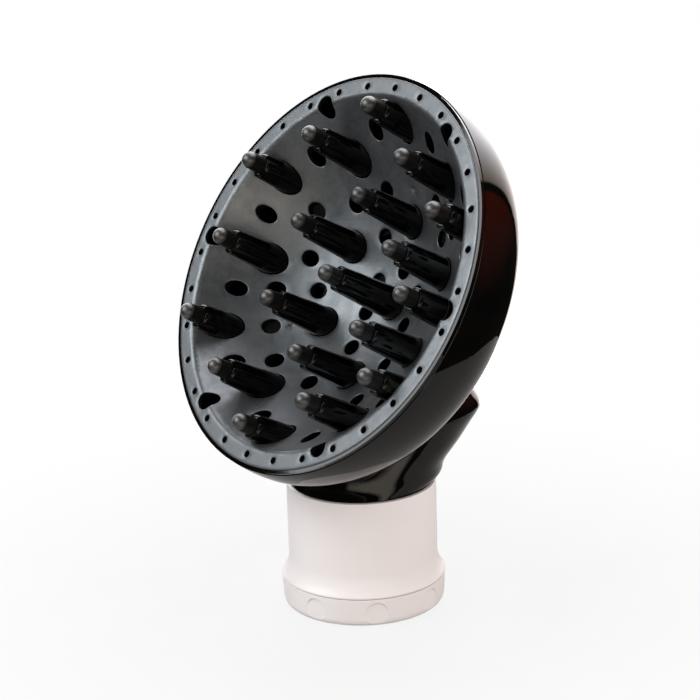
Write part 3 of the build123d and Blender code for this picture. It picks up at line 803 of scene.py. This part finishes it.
slot_holes = []
for k in range(JAWS):
    path = []
    for i in range(SLOT_STEPS + 1):
        turn = -SLOT_OVERRUN + (RING_TURN + 2 * SLOT_OVERRUN) * i / SLOT_STEPS
        radius = PIN_CIRCLE - PIN_TRAVEL * turn / RING_TURN
        angle = radians(360 / JAWS * k - turn)
        path.append((radius * cos(angle), radius * sin(angle)))
    slot_holes.append(SlotHole(path, SLOT_R, SLOT_EDGE))
cam_fill = [p for radius in CAM_FILL for p in circle(0, 0, radius, CAM_FILL_POINTS)]
outer_rim = [(ring_circle(RING_IN), 0.0)]
bore_rim = [(circle(0, 0, CAM_BORE, CAM_BORE_POINTS), 0.0)]
cam_rims = [(outer_rim, None), (bore_rim, "inner")]
cam_verts, cam_faces, _ = perforated(slot_holes, [], cam_rims, cam_fill, lambda r: CAM_T, roll_z)
base = len(verts)
verts += cam_verts
faces += [tuple(base + k for k in face) for face in cam_faces]
piece("ring_skin", verts, faces, [warm_white], ["grip_ring"], body="twist_ring",
      weld=True)


# Studio: a pale floor that fades into white, a world with a room to mirror, soft lamps
def math_node(tree, operation, first, second):
    node = tree.nodes.new("ShaderNodeMath")
    node.operation = operation
    node.use_clamp = operation == "MULTIPLY"
    for i, value in enumerate((first, second)):
        if hasattr(value, "links"):
            tree.links.new(value, node.inputs[i])
        else:
            node.inputs[i].default_value = value
    return node.outputs[0]


def colour_mix(tree, factor, first, second):
    node = tree.nodes.new("ShaderNodeMix")
    node.data_type = "RGBA"
    tree.links.new(factor, node.inputs[0])
    for i, value in ((6, first), (7, second)):
        if hasattr(value, "links"):
            tree.links.new(value, node.inputs[i])
        else:
            node.inputs[i].default_value = (*value, 1)
    return node.outputs[2]


bpy.ops.mesh.primitive_circle_add(vertices=FLOOR_POINTS, radius=FLOOR_R, fill_type="NGON",
                                  location=(0, 0, FLOOR_Z))
floor = bpy.context.object
floor.name = "studio_floor"
paper = plastic("studio_paper", (0.38, 0.37, 0.36), (0.4, 0.39, 0.38), 60, (0.6, 0.7), 30)
tree = paper.node_tree
spot = tree.nodes.new("ShaderNodeTexCoord").outputs["Object"]
far = tree.nodes.new("ShaderNodeVectorMath")
far.operation = "LENGTH"
tree.links.new(spot, far.inputs[0])
fade = socket_ramp(tree, far.outputs["Value"], FLOOR_WHITE, 1, *FLOOR_FADE)
path = tree.nodes.new("ShaderNodeLightPath").outputs
seen = math_node(tree, "MAXIMUM", path["Is Glossy Ray"], path["Is Transmission Ray"])
seen = math_node(tree, "MULTIPLY", seen, FLOOR_GLOSS)
seen = math_node(tree, "MAXIMUM", seen, path["Is Camera Ray"])
glow = tree.nodes.new("ShaderNodeEmission")
glow.inputs["Color"].default_value = (1, 1, 1, 1)
glow.inputs["Strength"].default_value = 1
lit = tree.nodes.new("ShaderNodeMixShader")
tree.links.new(math_node(tree, "MULTIPLY", fade, seen), lit.inputs[0])
tree.links.new(tree.nodes["Principled BSDF"].outputs[0], lit.inputs[1])
tree.links.new(glow.outputs[0], lit.inputs[2])
tree.links.new(lit.outputs[0], tree.nodes["Material Output"].inputs["Surface"])
floor.data.materials.append(paper)

world = bpy.data.worlds.new("studio")
scene.world = world
world.use_nodes = True
sky = world.node_tree
way = sky.nodes.new("ShaderNodeTexCoord").outputs["Generated"]


def along(direction, start, end):
    """0 to 1 as the ray's direction turns towards a direction."""
    dot = sky.nodes.new("ShaderNodeVectorMath")
    dot.operation = "DOT_PRODUCT"
    dot.inputs[1].default_value = direction
    sky.links.new(way, dot.inputs[0])
    return socket_ramp(sky, dot.outputs["Value"], 0, 1, start, end)


def both(first, second):
    return math_node(sky, "MULTIPLY", first, second)


window = both(along(WINDOW_WAY, *WINDOW_EDGE), along(BACKWARD, *WINDOW_BACK))
brown = both(along(WINDOW_WAY, *BROWN_EDGE), along(UPWARD, *BROWN_RISE))
brown = both(brown, along(BACKWARD, *BROWN_BACK))
room = colour_mix(sky, brown, ROOM, BROWN)
card = both(along(CARD_WAY, *CARD_EDGE), along(UPWARD, *CARD_TOP))
card = both(card, along(UPWARD, *CARD_FOOT))
room = colour_mix(sky, card, room, CARD)
pane = colour_mix(sky, along(WINDOW_WAY, *WINDOW_RISE), WINDOW_LOW, WINDOW)
room = colour_mix(sky, window, room, pane)
path = sky.nodes.new("ShaderNodeLightPath").outputs
shown = colour_mix(sky, path["Is Camera Ray"], room, (1, 1, 1))
seen = math_node(sky, "MAXIMUM", path["Is Glossy Ray"], path["Is Transmission Ray"])
seen = math_node(sky, "MAXIMUM", seen, path["Is Camera Ray"])
mirrored_room = sky.nodes["Background"]
sky.links.new(shown, mirrored_room.inputs["Color"])
ambient = sky.nodes.new("ShaderNodeBackground")
daylight = colour_mix(sky, along(AMBIENT_WAY, 0.0, 1.0), AMBIENT, AMBIENT_BRIGHT)
sky.links.new(daylight, ambient.inputs["Color"])
blend = sky.nodes.new("ShaderNodeMixShader")
sky.links.new(seen, blend.inputs[0])
sky.links.new(ambient.outputs[0], blend.inputs[1])
sky.links.new(mirrored_room.outputs[0], blend.inputs[2])
sky.links.new(blend.outputs[0], sky.nodes["World Output"].inputs["Surface"])


def softbox(name, spot, aim, width, height, radiance, colour=(1, 1, 1), mirrored=True):
    lamp = bpy.data.lights.new(name, "AREA")
    lamp.shape = "RECTANGLE"
    lamp.size = width
    lamp.size_y = height
    lamp.energy = radiance * pi * width * height
    lamp.color = colour
    obj = bpy.data.objects.new(name, lamp)
    obj.location = spot
    obj.rotation_euler = (Vector(aim) - Vector(spot)).to_track_quat("-Z", "Y").to_euler()
    obj.visible_camera = False
    obj.visible_glossy = mirrored
    scene.collection.objects.link(obj)


softbox("key", (-0.525, -1.147, 0.969), (0, -0.02, 0.13), 1.5, 0.85, 4.7, (0.96, 0.985, 1))
softbox("top", (-0.3, 0.0, 1.3), (0, 0, 0.1), 0.9, 0.9, 0.8, mirrored=False)
softbox("fill", (0.97, -0.26, 0.12), (0, 0, 0.055), 0.6, 0.25, 4.8, (1, 0.9, 0.8), mirrored=False)

camera = bpy.data.cameras.new("camera")
camera.lens = SENSOR * FOCAL_PIXELS / PHOTO_PIXELS
camera.sensor_width = SENSOR
eye = bpy.data.objects.new("camera", camera)
forward = Vector(EYE_FORWARD).normalized()
right = Vector(EYE_RIGHT)
right = (right - forward * right.dot(forward)).normalized()
up = right.cross(forward)
turn = Matrix((right, up, -forward)).transposed()
eye.matrix_world = Matrix.Translation(EYE) @ turn.to_4x4()
scene.collection.objects.link(eye)
scene.camera = eye
scene.view_settings.view_transform = "Standard"
